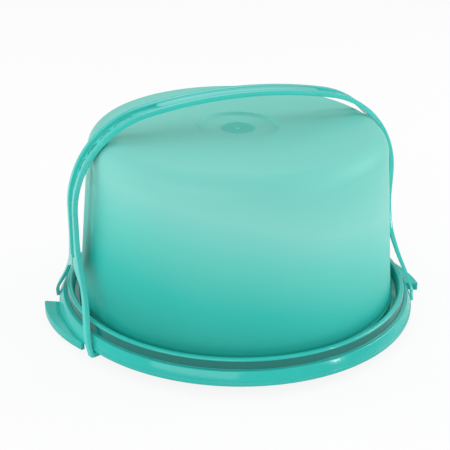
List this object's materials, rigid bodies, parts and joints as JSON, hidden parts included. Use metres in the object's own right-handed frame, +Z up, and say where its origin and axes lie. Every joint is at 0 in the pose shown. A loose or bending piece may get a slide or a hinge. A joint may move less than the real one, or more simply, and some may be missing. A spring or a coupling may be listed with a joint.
{
  "type": "cake carrier",
  "caption": "Round cake carrier: grooved tray with finger tabs, domed lift-off cover and a flexible strap handle hooked under the rim.",
  "frame": {"origin": "middle of the tray at table height, under the centre of the round cover", "axes": "+Z up; the strap handle's arch and the two finger tabs lie along X; +Y is level, across the arch"},
  "size_m": [0.3462, 0.324, 0.2064],
  "materials": {
    "tray_plastic": "glossy turquoise moulded plastic",
    "cover_plastic": "milky, fine matt turquoise moulded plastic",
    "handle_plastic": "glossy, flexible turquoise moulded plastic"
  },
  "bodies": {
    "tray_and_arch": {"base_tray": "tray_plastic", "handle_arch": "handle_plastic"},
    "cover": {"dome_cover": "cover_plastic"},
    "left_strap_end": {"left_arm": "handle_plastic"},
    "right_strap_end": {"right_arm": "handle_plastic"}
  },
  "joints": [
    {"name": "cover_lift", "type": "slide", "parent": "tray_and_arch", "child": "cover", "axis": [0, 0, 1], "range_m": [0, 0.0012]},
    {"name": "left_arm_flex", "type": "hinge", "parent": "tray_and_arch", "child": "left_strap_end", "pos_m": [-0.1523, 0, 0.11537], "axis": [0, 1, 0], "range_deg": [0, 20], "stiffness_Nm_per_rad": 0.6},
    {"name": "right_arm_flex", "type": "hinge", "parent": "tray_and_arch", "child": "right_strap_end", "pos_m": [0.1523, 0, 0.11537], "axis": [0, -1, 0], "range_deg": [0, 20], "stiffness_Nm_per_rad": 0.6}
  ]
}
